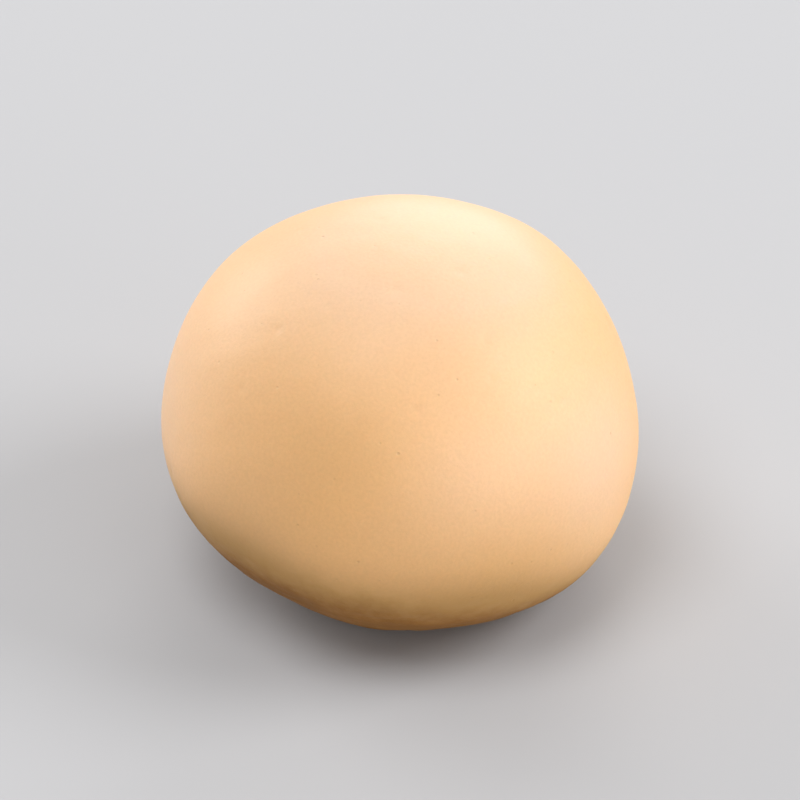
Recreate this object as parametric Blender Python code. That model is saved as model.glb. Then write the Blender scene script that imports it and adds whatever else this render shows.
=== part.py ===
"""Chestnut manju: one whole baked bun of sweet dough, resting on its flat base.

The bun is a ball of dough that has settled into a dome: full just above the tray, rounded under at the
foot, leaning a little to one side, and uneven where the hand that rolled it pressed it. Metres, +Z up,
origin at the middle of the base.
"""

import math
from collections import namedtuple

import bmesh
import bpy
import numpy as np
from mathutils import Matrix, Vector

MM = 0.001

# The dome, before it leans and before the hand shaping, about the middle of its widest level, the waist
BUN_RADIUS = 24.0 * MM
CROWN_RISE = 23.4 * MM  # from the waist up to the crown
FOOT_DROP = 16.9 * MM  # from the waist down to where the foot would end without the tray
DOME_FULLNESS = 2.15  # superellipse exponent above the waist, where 2 is an ellipse
FOOT_FULLNESS = 2.08  # the same below the waist

# How the dome sits: it leans to the rear right, and the tray presses its foot flat
LEAN_ANGLE = 11.0  # degrees from upright
LEAN_AZIMUTH = 35.0  # degrees from +X towards +Y
WAIST_HEIGHT = 14.8 * MM  # middle of the waist above the base
BASE_SOFTNESS = 0.8 * MM  # height over which the foot turns into the flat base

# The hand shaping: where the dough was pressed in (negative) or left full (positive). Azimuth and
# elevation, in degrees, point from the middle of the waist to the spot; spread is its half width.
Press = namedtuple("Press", "azimuth elevation height spread")
HAND_SHAPING = (
    Press(azimuth=180, elevation=0, height=0.20 * MM, spread=18),  # swell at the left
    Press(azimuth=146, elevation=36, height=0.50 * MM, spread=18),  # shoulder at the rear left
    Press(azimuth=44, elevation=42, height=0.80 * MM, spread=17),  # shoulder at the rear right
    Press(azimuth=-27, elevation=-31, height=0.35 * MM, spread=26),  # full lower right
    Press(azimuth=-104, elevation=-50, height=0.80 * MM, spread=12),  # foot that crept forward
)

# The faint waviness of a hand-rolled skin
WAVE_COUNT = 7
WAVE_HEIGHT = 0.035 * MM  # of each wave
WAVE_LENGTH = (13.0 * MM, 22.0 * MM)  # shortest and longest
WAVE_SEED = 5

MERIDIANS = 72
RINGS = 40


def unit_vector(azimuth, elevation):
    """The direction at an azimuth about +Z from +X and an elevation above the horizontal, in degrees."""
    turn = math.radians(azimuth)
    lift = math.radians(elevation)
    return np.array([math.cos(lift) * math.cos(turn), math.cos(lift) * math.sin(turn), math.sin(lift)])


def lean():
    """The turn that tips the crown by LEAN_ANGLE towards LEAN_AZIMUTH."""
    towards = math.radians(LEAN_AZIMUTH)
    hinge = Vector((-math.sin(towards), math.cos(towards), 0))
    return np.array(Matrix.Rotation(math.radians(LEAN_ANGLE), 3, hinge))


def dome(sphere):
    """Points of a unit sphere, moved to the leaning dome about the middle of its waist.

    Turned superellipses of BUN_RADIUS, one of CROWN_RISE above the waist and one of FOOT_DROP below it,
    then tipped by LEAN_ANGLE towards LEAN_AZIMUTH.
    """
    level = sphere[:, 2]
    reach = np.hypot(sphere[:, 0], sphere[:, 1])
    above = level >= 0
    fullness = np.where(above, DOME_FULLNESS, FOOT_FULLNESS)
    extent = np.where(above, CROWN_RISE, FOOT_DROP)
    radius = BUN_RADIUS * reach ** (2 / fullness)
    height = np.sign(level) * extent * np.abs(level) ** (2 / fullness)
    azimuth = np.arctan2(sphere[:, 1], sphere[:, 0])
    upright = np.column_stack([radius * np.cos(azimuth), radius * np.sin(azimuth), height])
    return upright @ lean().T


def hand_shaping(directions):
    """How far each direction stands out: a bell curve of the angle to each press, added together."""
    height = np.zeros(len(directions))
    for press in HAND_SHAPING:
        towards = directions @ unit_vector(press.azimuth, press.elevation)
        angle = np.degrees(np.arccos(np.clip(towards, -1, 1)))
        height += press.height * np.exp(-0.5 * (angle / press.spread) ** 2)
    return height


def skin_waves(points):
    """A few plane waves of seeded direction, length and phase, added together."""
    draw = np.random.default_rng(WAVE_SEED)
    height = np.zeros(len(points))
    for _ in range(WAVE_COUNT):
        heading = draw.normal(size=3)
        heading /= np.linalg.norm(heading)
        length = draw.uniform(*WAVE_LENGTH)
        phase = draw.uniform(0, 2 * math.pi)
        height += WAVE_HEIGHT * np.sin(2 * math.pi * (points @ heading) / length + phase)
    return height


def settle_on_base(height):
    """Heights above the base, with what would lie below it pressed flat, and a soft turn between."""
    turn = (height + BASE_SOFTNESS) ** 2 / (4 * BASE_SOFTNESS)
    return np.where(height > BASE_SOFTNESS, height, np.where(height < -BASE_SOFTNESS, 0, turn))


def bun_surface(sphere):
    """The bun's skin: the dome, moved out along each point's direction, then settled on its base.

    The footprint is centred on the origin.
    """
    points = dome(sphere)
    directions = points / np.linalg.norm(points, axis=1, keepdims=True)
    rise = hand_shaping(directions) + skin_waves(points)
    points = points + directions * rise[:, None]
    points[:, 2] = settle_on_base(points[:, 2] + WAIST_HEIGHT)
    footprint = points[:, :2]
    points[:, :2] -= (footprint.min(axis=0) + footprint.max(axis=0)) / 2
    return points


def baked_dough():
    """The bun's pale baked skin: cream to peach, satin."""
    material = bpy.data.materials.new("baked_dough")
    material.use_nodes = True
    shader = material.node_tree.nodes["Principled BSDF"]
    shader.inputs["Base Color"].default_value = (0.84, 0.56, 0.32, 1)
    shader.inputs["Roughness"].default_value = 0.5
    shader.inputs["Metallic"].default_value = 0.0
    return material


def make_bun(collection):
    """The bun: a sphere whose points are moved to the bun's skin."""
    mesh = bpy.data.meshes.new("bun")
    form = bmesh.new()
    bmesh.ops.create_uvsphere(form, u_segments=MERIDIANS, v_segments=RINGS, radius=1.0)
    form.to_mesh(mesh)
    form.free()

    sphere = np.empty(len(mesh.vertices) * 3)
    mesh.vertices.foreach_get("co", sphere)
    mesh.vertices.foreach_set("co", bun_surface(sphere.reshape(-1, 3)).ravel())
    mesh.shade_smooth()
    mesh.update()

    bun = bpy.data.objects.new("bun", mesh)
    bun.data.materials.append(baked_dough())
    collection.objects.link(bun)
    return bun


def main():
    for old in list(bpy.data.objects):
        bpy.data.objects.remove(old)
    collection = bpy.data.collections.new("chestnut_manju")
    bpy.context.scene.collection.children.link(collection)
    make_bun(collection)


main()
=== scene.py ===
"""Looks of a chestnut manju: one whole baked bun, browned at its foot and underside, with painted shade on
its lower side and painted highlight on its crown and cheeks, and a plain stage.
"""

import math

import bpy
import numpy as np
from bpy.props import FloatProperty, FloatVectorProperty, IntProperty, PointerProperty
from bpy.types import Operator, Panel, PropertyGroup
from mathutils import Matrix, Vector


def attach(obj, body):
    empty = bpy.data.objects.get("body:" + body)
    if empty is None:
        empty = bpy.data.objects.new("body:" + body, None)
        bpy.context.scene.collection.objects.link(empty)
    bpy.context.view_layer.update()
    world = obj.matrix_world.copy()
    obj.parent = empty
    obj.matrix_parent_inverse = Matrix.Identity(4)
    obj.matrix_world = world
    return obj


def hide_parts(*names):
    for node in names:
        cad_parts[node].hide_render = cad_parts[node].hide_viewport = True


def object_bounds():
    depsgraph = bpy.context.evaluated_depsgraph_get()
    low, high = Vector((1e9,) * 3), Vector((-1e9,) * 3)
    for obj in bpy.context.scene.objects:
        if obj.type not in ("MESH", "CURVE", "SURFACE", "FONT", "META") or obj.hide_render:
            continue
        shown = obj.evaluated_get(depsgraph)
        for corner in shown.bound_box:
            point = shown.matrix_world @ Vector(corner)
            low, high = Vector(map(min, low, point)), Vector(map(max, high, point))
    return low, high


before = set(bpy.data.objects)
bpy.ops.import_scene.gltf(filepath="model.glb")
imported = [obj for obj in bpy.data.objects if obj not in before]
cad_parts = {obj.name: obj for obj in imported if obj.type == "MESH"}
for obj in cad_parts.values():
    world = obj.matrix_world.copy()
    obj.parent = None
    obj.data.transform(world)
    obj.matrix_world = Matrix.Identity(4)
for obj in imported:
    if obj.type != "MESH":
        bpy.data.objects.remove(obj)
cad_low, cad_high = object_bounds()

bl_info = {
    "name": "Chestnut Manju",
    "version": (1, 0, 0),
    "blender": (4, 5, 0),
    "location": "View3D > Sidebar > Manju",
    "description": "Builds a whole baked manju and a plain stage for it",
    "category": "Add Mesh",
}

MM = 0.001

# Where the rolling hand pressed the dough in or left it full: azimuth and elevation in degrees from the
# middle of the waist, how far the skin stands out there, and the half width of the spot in degrees.
HAND_SHAPING = (
    (180, 0, 0.20 * MM, 18),  # swell at the left
    (146, 36, 0.50 * MM, 18),  # shoulder at the rear left
    (44, 42, 0.80 * MM, 17),  # shoulder at the rear right
    (-27, -31, 0.35 * MM, 26),  # full lower right
    (-104, -50, 0.80 * MM, 12),  # foot that crept forward
)

# How the oven coloured the skin, and where painted highlight and painted shade are laid into that colour:
# azimuth and elevation in degrees from the middle of the waist, share of the colour there, and the half
# width of the patch in degrees.
CREAM_PATCHES = (
    (0, 90, 1.3, 23),  # crown: paler dough and a painted highlight
    (3, 66, 0.6, 15),  # right of the crown: paler dough and a painted highlight
    (-31, 17, 0.7, 17),  # right cheek: a painted highlight
    (-71, 29, 0.38, 15),  # front
    (178, 10, 0.56, 28),  # left cheek: paler dough and a painted highlight from the light at the left
    (72, 24, 0.5, 22),  # rear
    (38, 2, 0.45, 17),  # lower down at the rear right
    (112, -8, 0.5, 22),  # lower down at the rear
)
# Golden patches, in the same columns: the foot's baked colour, and at the front left and the front also
# painted shade of the lower side
GOLDEN_PATCHES = (
    (-133, -26, 2.5, 17),  # foot at the front left: golden bake and painted shade
    (-70, -31, 2.0, 19),  # foot at the front: golden bake and painted shade
    (-103, 86, 0.34, 38),  # a breath of it over the whole crown
    (-103, 33, 0.2, 11),  # front
    (150, -26, 0.8, 20),  # foot at the rear left
    (40, -24, 0.7, 20),  # foot at the rear right
)
TOASTED_PATCHES = ((-98, -30, 0.25, 14),)  # where the foot that crept forward lay closest to the tray

# The skin's relief as waves: how many are added together, their shortest and longest length, their seed
LONG_WAVES = (7, 13.0 * MM, 22.0 * MM, 5)
RIPPLES = (24, 2.5 * MM, 6.0 * MM, 6)
CRINKLES = (40, 1.6 * MM, 4.5 * MM, 7)
CRINKLE_DRIFT = (9, 6.0 * MM, 11.0 * MM, 8)  # where round the foot the crinkles are deeper
SEAM_WANDER = (4, 6.0 * MM, 14.0 * MM, 12)  # how the pleats stray from an even star
CRINKLE_STRETCH = np.array([0.7, 0.7, 1.5])  # crinkles run round the foot, so they are longer than high
DIMPLE_SEED = 11

# Angles in degrees from the leaning bun's own downward axis, where something starts and where it is full
CRINKLED = (84, 58)
# the browned band, which also paints the shade of the lower side
BROWNED_AND_SHADED = (90, 54)
SPARED = (45, 15)  # the middle of the base, where steam kept the tray from browning it as much
DIMPLED = (30, 45)

# The pinched seam under the base
SEAM_MIDDLE = np.array([2.2, 0.6]) * MM
SEAM_SWIRL = 4  # radians that the pleats turn over the seam's reach
SEAM_EDGE = (5.0 * MM, 1.0 * MM)  # heights above the base where the seam ends and where it is full

# The noises that break up the colour and the gloss: size of the largest spots, octaves and roughness
NOISES = (
    ("cloud", 11.0 * MM, 2, 0.5),  # slow drift of colour from where the dough was thicker
    ("blotch", 3.5 * MM, 3, 0.55),  # milk sugar browned in patches
    ("scorch", 1.6 * MM, 4, 0.6),  # how unevenly the foot touched the tray
    ("flour", 0.35 * MM, 3, 0.6),  # clumps of flour grain; single grains are too fine to show
)
PORE_SPACING = 1.9 * MM

# The foot's colours, which also paint the shade of the lower side: the level of heat and shade at which
# each starts to show, and at which it hides the one before it
BROWNING_STAGES = (("bake", 0.0, 0.5), ("toast", 0.25, 0.85), ("crust", 0.7, 1.05))

# The studio's round softboxes: azimuth and elevation in degrees from the bun, and power in watts
SOFT_LIGHTS = (
    ("right_light", 0, 36, 2.03),
    ("front_light", -40, 5, 1.06),
    ("top_light", -135, 68, 1.41),
    ("left_light", 140, 20, 1.73),
    ("back_light", 80, 20, 1.16),
)
SOFTBOX_SIZE = 0.35
SOFTBOX_DISTANCE = 0.6
ROOM_LIGHT = 0.5  # strength of the even white light from all round
FLOOR_REACH = 1.5
FLOOR_HEIGHT = -0.1 * MM  # just under the base, so that no two faces share a plane


def linear(code):
    """A colour given as sRGB hex, such as "#F6C394", as linear red, green, blue and alpha."""
    shades = [int(code[i : i + 2], 16) / 255 for i in (1, 3, 5)]
    return (*[s / 12.92 if s <= 0.04045 else ((s + 0.055) / 1.055) ** 2.4 for s in shades], 1.0)


def length(name, description, default):
    """A size in metres that a user can change."""
    return FloatProperty(
        name=name, description=description, default=default, unit="LENGTH", precision=5
    )


def angle(name, description, degrees):
    """An angle that a user can change."""
    return FloatProperty(
        name=name, description=description, default=math.radians(degrees), subtype="ANGLE"
    )


def number(name, description, default):
    """A plain number that a user can change."""
    return FloatProperty(name=name, description=description, default=default)


def count(name, description, default):
    """A whole number that a user can change."""
    return IntProperty(name=name, description=description, default=default)


def colour(name, description, code):
    """A colour that a user can change."""
    return FloatVectorProperty(
        name=name, description=description, default=linear(code), subtype="COLOR", size=4, min=0, max=1
    )


class ManjuForm(PropertyGroup):
    """The bun's form, as in its solid."""

    radius: length("Radius", "Half the width at the waist, the widest level", 24.0 * MM)
    crown_rise: length("Crown rise", "From the waist up to the crown", 23.4 * MM)
    foot_drop: length("Foot drop", "From the waist to the foot's end without the tray", 16.9 * MM)
    dome_fullness: number("Dome fullness", "Superellipse exponent above the waist; 2 is an ellipse", 2.15)
    foot_fullness: number("Foot fullness", "Superellipse exponent below the waist", 2.08)
    lean: angle("Lean", "How far the crown tips from upright", 11.0)
    lean_towards: angle("Lean towards", "Azimuth that the crown tips to", 35.0)
    waist_height: length("Waist height", "Middle of the waist above the base", 14.8 * MM)
    base_softness: length("Base softness", "Height over which the foot turns into the base", 0.8 * MM)
    wave_height: length("Wave height", "Height of each of the skin's long waves", 0.035 * MM)


class ManjuRelief(PropertyGroup):
    """The fine relief of the skin, which only ever sinks into the form."""

    inset: length("Inset", "How far the skin's highest points lie inside the solid", 0.05 * MM)
    ripple: length("Ripple", "Depth of the skin's short ripples", 0.03 * MM)
    crinkle: length("Foot crinkle", "Depth of the crinkles round the foot", 0.2 * MM)
    dimples: count("Dimples", "How many small dimples the skin has", 70)
    dimple_radius: length("Dimple radius", "Radius of the largest dimple", 0.8 * MM)
    dimple_depth: length("Dimple depth", "Depth of the deepest dimple", 0.09 * MM)
    seam_depth: length("Seam depth", "Depth of the pinched seam under the base", 0.5 * MM)
    seam_reach: length("Seam reach", "How far its pleats run out from its middle", 8.0 * MM)
    seam_pleats: count("Seam pleats", "How many pleats meet at the seam", 7)
    steps: count("Grid steps", "Grid steps along each side of the skin's six patches", 120)


class ManjuColours(PropertyGroup):
    """The colours of the baked dough, some of which also paint highlight and shade, and of the floor."""

    # cream also paints a highlight on the crown and cheeks
    cream: colour("Cream", "Crown and the cheeks that stayed pale", "#F1CDAE")
    peach: colour("Peach", "Most of the skin", "#F1BB7D")
    # golden also paints the shade of the lower front
    golden: colour("Golden", "Lower flank, where the oven coloured the dough more", "#BF9257")
    # bake, toast and crust also paint the shade of the lower side
    bake: colour("Bake", "Where the flank turns under", "#BE904E")
    toast: colour("Toast", "Browned edge of the foot", "#98641E")
    crust: colour("Crust", "Darkest ring of the foot", "#8C5C1C")
    floor: colour("Floor", "Plain floor", "#B4B4B6")


class ManjuStudio(PropertyGroup):
    """Camera and light."""

    elevation: angle("Camera elevation", "Angle of the camera above the horizon", 37.5)
    distance: length("Camera distance", "From the camera to the bun's middle", 0.55)
    share: number("Share of frame", "How much of the picture's width the bun takes", 0.6)


class ManjuSettings(PropertyGroup):
    """All that a user can change."""

    form: PointerProperty(type=ManjuForm)
    relief: PointerProperty(type=ManjuRelief)
    colours: PointerProperty(type=ManjuColours)
    studio: PointerProperty(type=ManjuStudio)


# ---------------------------------------------------------------- form


def unit_vector(azimuth, elevation):
    """The direction at an azimuth from +X towards +Y and an elevation above the horizon, in radians."""
    return np.array(
        [
            math.cos(elevation) * math.cos(azimuth),
            math.cos(elevation) * math.sin(azimuth),
            math.sin(elevation),
        ]
    )


def sphere_grid(steps):
    """A unit sphere's points and quads, on six square patches of equal angles, welded along their seams.

    A point of a patch is the patch's outward axis plus the tangents of two angles, each from minus to
    plus an eighth of a turn, along its two other axes, brought to length one.
    """
    tangents = np.tan(np.linspace(-math.pi / 4, math.pi / 4, steps + 1))
    across, up = np.meshgrid(tangents, tangents)
    corner = np.arange((steps + 1) ** 2).reshape(steps + 1, steps + 1)
    quad = np.stack([corner[:-1, :-1], corner[:-1, 1:], corner[1:, 1:], corner[1:, :-1]], axis=-1)
    patches = []
    quads = []
    for outward in np.vstack([np.eye(3), -np.eye(3)]):
        side = np.roll(outward, 1)
        patch = outward + across[..., None] * side + up[..., None] * np.cross(outward, side)
        quads.append(quad.reshape(-1, 4) + len(patches) * corner.size)
        patches.append(patch / np.linalg.norm(patch, axis=-1, keepdims=True))
    points = np.concatenate(patches).reshape(-1, 3)
    _, first, weld = np.unique(points.round(6) + 0.0, axis=0, return_index=True, return_inverse=True)
    return points[first], weld.ravel()[np.concatenate(quads)]


def plane_waves(points, waves, shortest, longest, seed):
    """The sum of a few unit sine waves of seeded heading, length and phase, at each point."""
    draw = np.random.default_rng(seed)
    total = np.zeros(len(points))
    for _ in range(waves):
        heading = draw.normal(size=3)
        heading /= np.linalg.norm(heading)
        wavelength = draw.uniform(shortest, longest)
        phase = draw.uniform(0, 2 * math.pi)
        total += np.sin(2 * math.pi * (points @ heading) / wavelength + phase)
    return total


def smooth_step(low, high, values):
    """0 up to low and 1 from high, with an S-curve between; low may be the larger."""
    share = np.clip((values - low) / (high - low), 0, 1)
    return share * share * (3 - 2 * share)


def worn_waves(waves, softness):
    """Waves worn down to between 0 and 1: half of one plus the hyperbolic tangent of waves by softness."""
    return 0.5 + 0.5 * np.tanh(waves / softness)


def lean_matrix(form):
    """The turn that tips the crown from upright towards the lean's azimuth."""
    hinge = Vector((-math.sin(form.lean_towards), math.cos(form.lean_towards), 0))
    return np.array(Matrix.Rotation(form.lean, 3, hinge))


def dome(sphere, form):
    """The leaning dome about the middle of its waist.

    Turned superellipses of the bun's radius, one up to the crown and one down to the foot, then tipped.
    """
    level = sphere[:, 2]
    reach = np.hypot(sphere[:, 0], sphere[:, 1])
    above = level >= 0
    fullness = np.where(above, form.dome_fullness, form.foot_fullness)
    extent = np.where(above, form.crown_rise, form.foot_drop)
    radius = form.radius * reach ** (2 / fullness)
    height = np.sign(level) * extent * np.abs(level) ** (2 / fullness)
    azimuth = np.arctan2(sphere[:, 1], sphere[:, 0])
    upright = np.column_stack([radius * np.cos(azimuth), radius * np.sin(azimuth), height])
    return upright @ lean_matrix(form).T


def soft_spots(directions, spots):
    """The sum over all spots of the amount times a bell curve of each direction's angle to the spot."""
    total = np.zeros(len(directions))
    for azimuth, elevation, amount, spread in spots:
        towards = directions @ unit_vector(math.radians(azimuth), math.radians(elevation))
        away = np.degrees(np.arccos(np.clip(towards, -1, 1)))
        total += amount * np.exp(-0.5 * (away / spread) ** 2)
    return total


def settle_on_base(height, softness):
    """Heights above the base, with what would lie below it pressed flat, and a soft turn between."""
    turn = (height + softness) ** 2 / (4 * softness)
    return np.where(height > softness, height, np.where(height < -softness, 0, turn))


def angle_from_base(directions, form):
    """Angle of each direction from the leaning bun's own downward axis, in degrees."""
    downward = -lean_matrix(form)[:, 2]
    return np.degrees(np.arccos(np.clip(directions @ downward, -1, 1)))


def dimples(points, relief):
    """How deep the small dimples are at each point: a bell curve of the distance to each seeded centre."""
    draw = np.random.default_rng(DIMPLE_SEED)
    depth = np.zeros(len(points))
    for centre in points[draw.choice(len(points), relief.dimples, replace=False)]:
        size = draw.uniform(0.5, 1.0)
        distance = np.linalg.norm(points - centre, axis=1) / (relief.dimple_radius * size)
        depth += relief.dimple_depth * size * np.exp(-2 * distance**2)
    return depth


def pinched_seam(points, relief):
    """How far the base is drawn in where the dough was gathered and pinched shut, from 0 to 1.

    A small pit at the seam's middle, and pleats round it: a cosine of the angle about the middle, which
    swirls with the distance from it, wanders with a few long waves, and fades over the seam's reach.
    """
    middle = points[:, :2] - SEAM_MIDDLE
    distance = np.hypot(middle[:, 0], middle[:, 1]) / relief.seam_reach
    swirl = np.arctan2(middle[:, 1], middle[:, 0]) * relief.seam_pleats + SEAM_SWIRL * distance
    wander = plane_waves(points, *SEAM_WANDER)
    pleats = (0.5 + 0.5 * np.cos(swirl + 0.6 * wander)) ** 2 * smooth_step(-2.2, 1.2, wander)
    ends = smooth_step(0.05, 0.3, distance) * smooth_step(1.0, 0.3, distance)
    pit = np.exp(-((distance / 0.14) ** 2))
    return (0.6 * pleats * ends + pit) * smooth_step(*SEAM_EDGE, points[:, 2])


def skin(sphere, form, relief):
    """The bun's skin points and the marks of colour on them, each from 0 to 1: what the oven left, with
    painted highlight and shade laid in.

    The dome, moved along each point's direction by the hand shaping and the long waves, less the inset,
    the ripples, the foot's crinkles and the dimples, and settled on its base with the footprint centred.
    The base is drawn in at its seam.
    """
    points = dome(sphere, form)
    directions = points / np.linalg.norm(points, axis=1, keepdims=True)
    low = angle_from_base(directions, form)

    rise = soft_spots(directions, HAND_SHAPING) + form.wave_height * plane_waves(points, *LONG_WAVES)
    ripples = worn_waves(plane_waves(points, *RIPPLES), 3.5)
    crinkles = worn_waves(plane_waves(points * CRINKLE_STRETCH, *CRINKLES), 6)
    crinkled = smooth_step(*CRINKLED, low) * smooth_step(-2.5, 2.5, plane_waves(points, *CRINKLE_DRIFT))
    sunk = relief.inset + relief.ripple * ripples + relief.crinkle * crinkled * crinkles
    sunk += dimples(points, relief) * smooth_step(*DIMPLED, low)

    points = points + directions * (rise - sunk)[:, None]
    points[:, 2] = settle_on_base(points[:, 2] + form.waist_height, form.base_softness)
    footprint = points[:, :2]
    points[:, :2] -= (footprint.min(axis=0) + footprint.max(axis=0)) / 2
    drawn_in = pinched_seam(points, relief)
    points[:, 2] += relief.seam_depth * drawn_in

    # browning, with the painted shade of the lower side in it
    browned_and_shaded = smooth_step(*BROWNED_AND_SHADED, low) * (1 - 0.25 * smooth_step(*SPARED, low))
    browned_and_shaded = np.clip(browned_and_shaded + soft_spots(directions, TOASTED_PATCHES), 0, 1)
    marks = {
        "browning_and_shade": browned_and_shaded - 0.5 * drawn_in,
        "cream": np.clip(soft_spots(directions, CREAM_PATCHES), 0, 1),
        "golden": np.clip(soft_spots(directions, GOLDEN_PATCHES), 0, 1),
    }
    return points, marks


def build_mesh(name, points, quads, marks):
    """A smooth mesh object of the points and quads, with one number per point for each mark."""
    mesh = bpy.data.meshes.new(name)
    mesh.from_pydata(points.tolist(), [], quads.tolist())
    for label, values in marks.items():
        mark = mesh.attributes.new(label, "FLOAT", "POINT")
        mark.data.foreach_set("value", values.astype(np.float32))
    mesh.shade_smooth()
    mesh.update()
    made = bpy.data.objects.new(name, mesh)
    bpy.context.scene.collection.objects.link(made)
    return made


# ---------------------------------------------------------------- materials


def add(tree, kind, links=None, settings=None, **properties):
    """Adds a node of a kind, sets its properties and its sockets, and links sources to its inputs."""
    node = tree.nodes.new(kind)
    for name, value in properties.items():
        setattr(node, name, value)
    for socket, value in (settings or {}).items():
        node.inputs[socket].default_value = value
    for socket, source in (links or {}).items():
        tree.links.new(source, node.inputs[socket])
    return node


def empty_material(name):
    """A new material with no nodes, and its node tree."""
    material = bpy.data.materials.new(name)
    material.use_nodes = True
    material.node_tree.nodes.clear()
    return material, material.node_tree


def baked_dough(colours):
    """Dough of wheat flour, egg and condensed milk, rolled smooth by hand and baked pale.

    The eye gets a satin skin, cream on the crown, peach to golden below and softly mottled, with a flour
    grain that breaks up its broad highlights; where it lay on the tray it is browned, rougher and matt.
    The cream also paints a highlight on the crown and cheeks, and the golden and the browned foot also
    paint the shade of the lower front.
    """
    material, tree = empty_material("baked_milk_dough")
    place = add(tree, "ShaderNodeTexCoord").outputs["Object"]
    noise = {
        pattern: add(
            tree,
            "ShaderNodeTexNoise",
            {"Vector": place},
            {"Scale": 1 / size, "Detail": octaves, "Roughness": roughness},
        ).outputs["Fac"]
        for pattern, size, octaves, roughness in NOISES
    }
    mark = {
        name: add(tree, "ShaderNodeAttribute", attribute_name=name).outputs["Fac"]
        for name in ("cream", "golden", "browning_and_shade")
    }

    # pores: pits a quarter of a millimetre across, of which about half are open
    pores = add(
        tree,
        "ShaderNodeTexVoronoi",
        {"Vector": place},
        {"Scale": 1 / PORE_SPACING, "Randomness": 1.0},
    )
    pore_pit = add(
        tree,
        "ShaderNodeMapRange",
        {"Value": pores.outputs["Distance"]},
        {"From Min": 0.03, "From Max": 0.11, "To Min": 1.0, "To Max": 0.0},
        interpolation_type="SMOOTHSTEP",
    )
    pore_draw = add(tree, "ShaderNodeSeparateColor", {"Color": pores.outputs["Color"]})
    pore_open = add(
        tree,
        "ShaderNodeMapRange",
        {"Value": pore_draw.outputs["Red"]},
        {"From Min": 0.45, "From Max": 0.95},
    )
    pore = add(
        tree,
        "ShaderNodeMath",
        {0: pore_pit.outputs["Result"], 1: pore_open.outputs["Result"]},
        operation="MULTIPLY",
    ).outputs[0]

    # pale to golden: the marks of the oven over the peach, with a painted highlight in the cream and
    # painted shade in the golden at the front of the foot, their edges blurred by the cloud
    skin_colour = None
    for name in ("cream", "golden"):
        drift = add(
            tree,
            "ShaderNodeMath",
            {0: noise["cloud"], 2: mark[name]},
            {1: 0.2},
            operation="MULTIPLY_ADD",
        )
        share = add(
            tree,
            "ShaderNodeMapRange",
            {"Value": drift.outputs[0]},
            {"From Min": 0.1, "From Max": 1.1},
        )
        links = {0: share.outputs["Result"]}
        tints = {7: getattr(colours, name)}
        if skin_colour:
            links[6] = skin_colour
        else:
            tints[6] = colours.peach
        skin_colour = add(tree, "ShaderNodeMix", links, tints, data_type="RGBA").outputs[2]

    # flour grain, a few hundredths lighter and darker, and pores, a little darker
    grain = add(
        tree,
        "ShaderNodeMapRange",
        {"Value": noise["flour"]},
        {"From Min": 0.3, "From Max": 0.7, "To Min": 0.965, "To Max": 1.035},
    )
    shade = add(
        tree,
        "ShaderNodeMath",
        {0: pore, 2: grain.outputs["Result"]},
        {1: -0.12},
        operation="MULTIPLY_ADD",
    )
    whole_colour = add(
        tree,
        "ShaderNodeVectorMath",
        {0: skin_colour, 3: shade.outputs[0]},
        operation="SCALE",
    ).outputs[0]

    # the browned foot, whose dark band also paints the shade of the lower side: its colours along the heat
    # and shade, which the cloud, blotches and scorch make uneven
    spots = add(
        tree,
        "ShaderNodeMath",
        {0: noise["blotch"], 1: noise["scorch"]},
        operation="ADD",
    )
    unevenness = add(
        tree,
        "ShaderNodeMath",
        {0: noise["cloud"], 1: spots.outputs[0]},
        operation="ADD",
    )
    reach = add(
        tree,
        "ShaderNodeMapRange",
        {"Value": unevenness.outputs[0]},
        {"From Min": 1.0, "From Max": 2.0, "To Min": 0.7, "To Max": 1.3},
    )
    heat_and_shade = add(
        tree,
        "ShaderNodeMath",
        {0: mark["browning_and_shade"], 1: reach.outputs["Result"]},
        operation="MULTIPLY",
    ).outputs[0]
    for name, start, full in BROWNING_STAGES:
        share = add(
            tree,
            "ShaderNodeMapRange",
            {"Value": heat_and_shade},
            {"From Min": start, "From Max": full},
            interpolation_type="SMOOTHSTEP",
        )
        whole_colour = add(
            tree,
            "ShaderNodeMix",
            {0: share.outputs["Result"], 6: whole_colour},
            {7: getattr(colours, name)},
            data_type="RGBA",
        ).outputs[2]

    # gloss and bump: flour grain all over, the tray's marks where it is toasted, and the pores
    toasted = add(
        tree,
        "ShaderNodeMapRange",
        {"Value": heat_and_shade},
        {"From Min": 0.25, "From Max": 0.95},
    ).outputs["Result"]
    roughness = add(
        tree,
        "ShaderNodeMapRange",
        {"Value": toasted},
        {"To Min": 0.48, "To Max": 0.7},
    )
    flour_bump = add(
        tree,
        "ShaderNodeBump",
        {"Height": noise["flour"]},
        {"Strength": 1.0, "Distance": 0.02 * MM},
    )
    tray_marks = add(
        tree,
        "ShaderNodeMath",
        {0: noise["scorch"], 1: toasted},
        operation="MULTIPLY",
    )
    tray_bump = add(
        tree,
        "ShaderNodeBump",
        {"Height": tray_marks.outputs[0], "Normal": flour_bump.outputs["Normal"]},
        {"Strength": 1.0, "Distance": 0.12 * MM},
    )
    pore_bump = add(
        tree,
        "ShaderNodeBump",
        {"Height": pore, "Normal": tray_bump.outputs["Normal"]},
        {"Strength": 1.0, "Distance": 0.05 * MM},
        invert=True,
    )
    shader = add(
        tree,
        "ShaderNodeBsdfPrincipled",
        {
            "Base Color": whole_colour,
            "Roughness": roughness.outputs["Result"],
            "Normal": pore_bump.outputs["Normal"],
        },
        {
            "IOR": 1.45,
            "Subsurface Weight": 0.2,
            "Subsurface Scale": 1.2 * MM,
            "Subsurface Radius": (1.0, 0.55, 0.25),
        },
    )
    add(tree, "ShaderNodeOutputMaterial", {"Surface": shader.outputs["BSDF"]})
    return material


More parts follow.
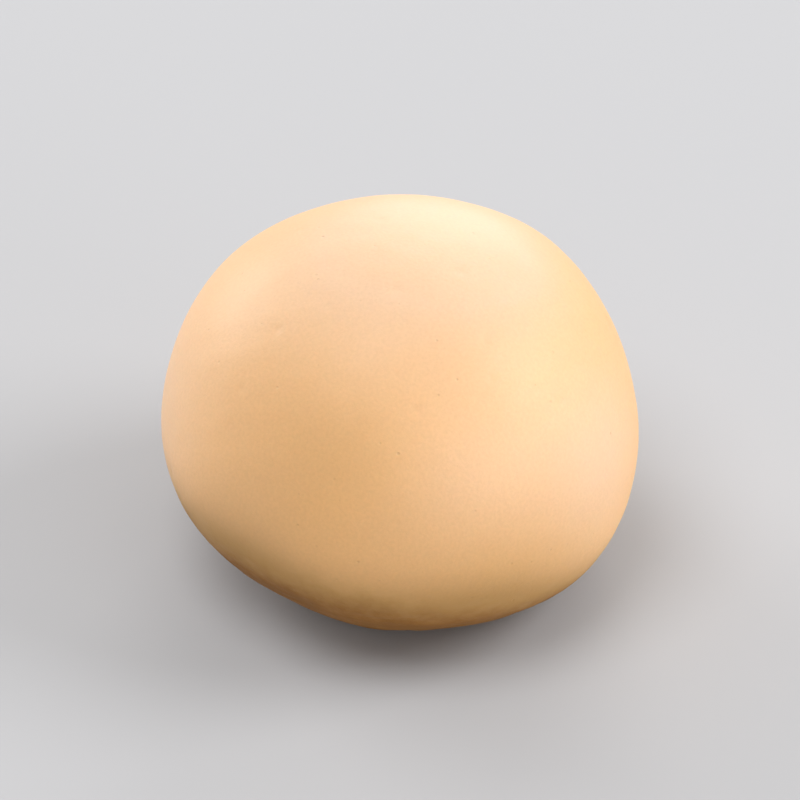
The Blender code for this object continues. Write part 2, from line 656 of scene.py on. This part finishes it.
def plain_floor(colours):
    """Seamless studio paper, uncoated: an even pale sheet with no gloss."""
    material, tree = empty_material("studio_paper")
    finish = {"Base Color": colours.floor, "Roughness": 0.85}
    shader = add(tree, "ShaderNodeBsdfPrincipled", None, finish)
    add(tree, "ShaderNodeOutputMaterial", {"Surface": shader.outputs["BSDF"]})
    return material


# ---------------------------------------------------------------- operators


class MANJU_OT_bun(Operator):
    """Build the whole baked bun"""

    bl_idname = "manju.bun"
    bl_label = "Baked bun"

    def execute(self, context):
        settings = context.scene.manju
        sphere, quads = sphere_grid(settings.relief.steps)
        points, marks = skin(sphere, settings.form, settings.relief)
        bun = build_mesh("bun_skin", points, quads, marks)
        bun.data.materials.append(baked_dough(settings.colours))
        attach(bun, "root")
        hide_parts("bun")
        return {"FINISHED"}


def soft_light(name, azimuth, elevation, power, target):
    """A round softbox at an azimuth and elevation in degrees from the target, turned to face it."""
    light = bpy.data.lights.new(name, "AREA")
    light.shape = "DISK"
    light.size = SOFTBOX_SIZE
    light.energy = power
    lamp = bpy.data.objects.new(name, light)
    away = Vector(unit_vector(math.radians(azimuth), math.radians(elevation)))
    lamp.location = target + away * SOFTBOX_DISTANCE
    lamp.rotation_euler = away.to_track_quat("Z", "Y").to_euler()
    lamp.visible_camera = False
    bpy.context.scene.collection.objects.link(lamp)


class MANJU_OT_stage(Operator):
    """Set the floor, the lights and the camera"""

    bl_idname = "manju.stage"
    bl_label = "Stage"

    def execute(self, context):
        scene = context.scene
        settings = scene.manju
        studio = settings.studio
        middle = (cad_low + cad_high) / 2

        mesh = bpy.data.meshes.new("floor")
        corners = ((-1, -1), (1, -1), (1, 1), (-1, 1))
        mesh.from_pydata(
            [(x * FLOOR_REACH, y * FLOOR_REACH, FLOOR_HEIGHT) for x, y in corners], [], [(0, 1, 2, 3)]
        )
        floor = bpy.data.objects.new("floor", mesh)
        floor.data.materials.append(plain_floor(settings.colours))
        scene.collection.objects.link(floor)

        for name, azimuth, elevation, power in SOFT_LIGHTS:
            soft_light(name, azimuth, elevation, power, middle)

        world = bpy.data.worlds.new("studio")
        world.use_nodes = True
        background = world.node_tree.nodes["Background"]
        background.inputs["Color"].default_value = (1, 1, 1, 1)
        background.inputs["Strength"].default_value = ROOM_LIGHT
        scene.world = world

        camera = bpy.data.objects.new("camera", bpy.data.cameras.new("camera"))
        back = Vector(unit_vector(-math.pi / 2, studio.elevation))
        camera.location = middle + back * studio.distance
        camera.rotation_euler = back.to_track_quat("Z", "Y").to_euler()
        frame_width = (cad_high.x - cad_low.x) / studio.share
        camera.data.lens = camera.data.sensor_width * studio.distance / frame_width
        scene.collection.objects.link(camera)
        scene.camera = camera
        scene.view_settings.view_transform = "Standard"
        return {"FINISHED"}


class MANJU_PT_panel(Panel):
    """The bun's sizes, colours and stage, and what builds them"""

    bl_idname = "MANJU_PT_panel"
    bl_label = "Chestnut manju"
    bl_space_type = "VIEW_3D"
    bl_region_type = "UI"
    bl_category = "Manju"

    def draw(self, context):
        settings = context.scene.manju
        for group in ("form", "relief", "colours", "studio"):
            box = self.layout.box()
            box.label(text=group.capitalize())
            part = getattr(settings, group)
            for name in part.__annotations__:
                box.prop(part, name)
        for operator in (MANJU_OT_bun, MANJU_OT_stage):
            self.layout.operator(operator.bl_idname)


CLASSES = (
    ManjuForm,
    ManjuRelief,
    ManjuColours,
    ManjuStudio,
    ManjuSettings,
    MANJU_OT_bun,
    MANJU_OT_stage,
    MANJU_PT_panel,
)


def register():
    for cls in CLASSES:
        bpy.utils.register_class(cls)
    bpy.types.Scene.manju = PointerProperty(type=ManjuSettings)


def unregister():
    del bpy.types.Scene.manju
    for cls in reversed(CLASSES):
        bpy.utils.unregister_class(cls)


def main():
    register()
    bpy.ops.manju.bun()
    bpy.ops.manju.stage()


if __name__ == "__main__":
    main()
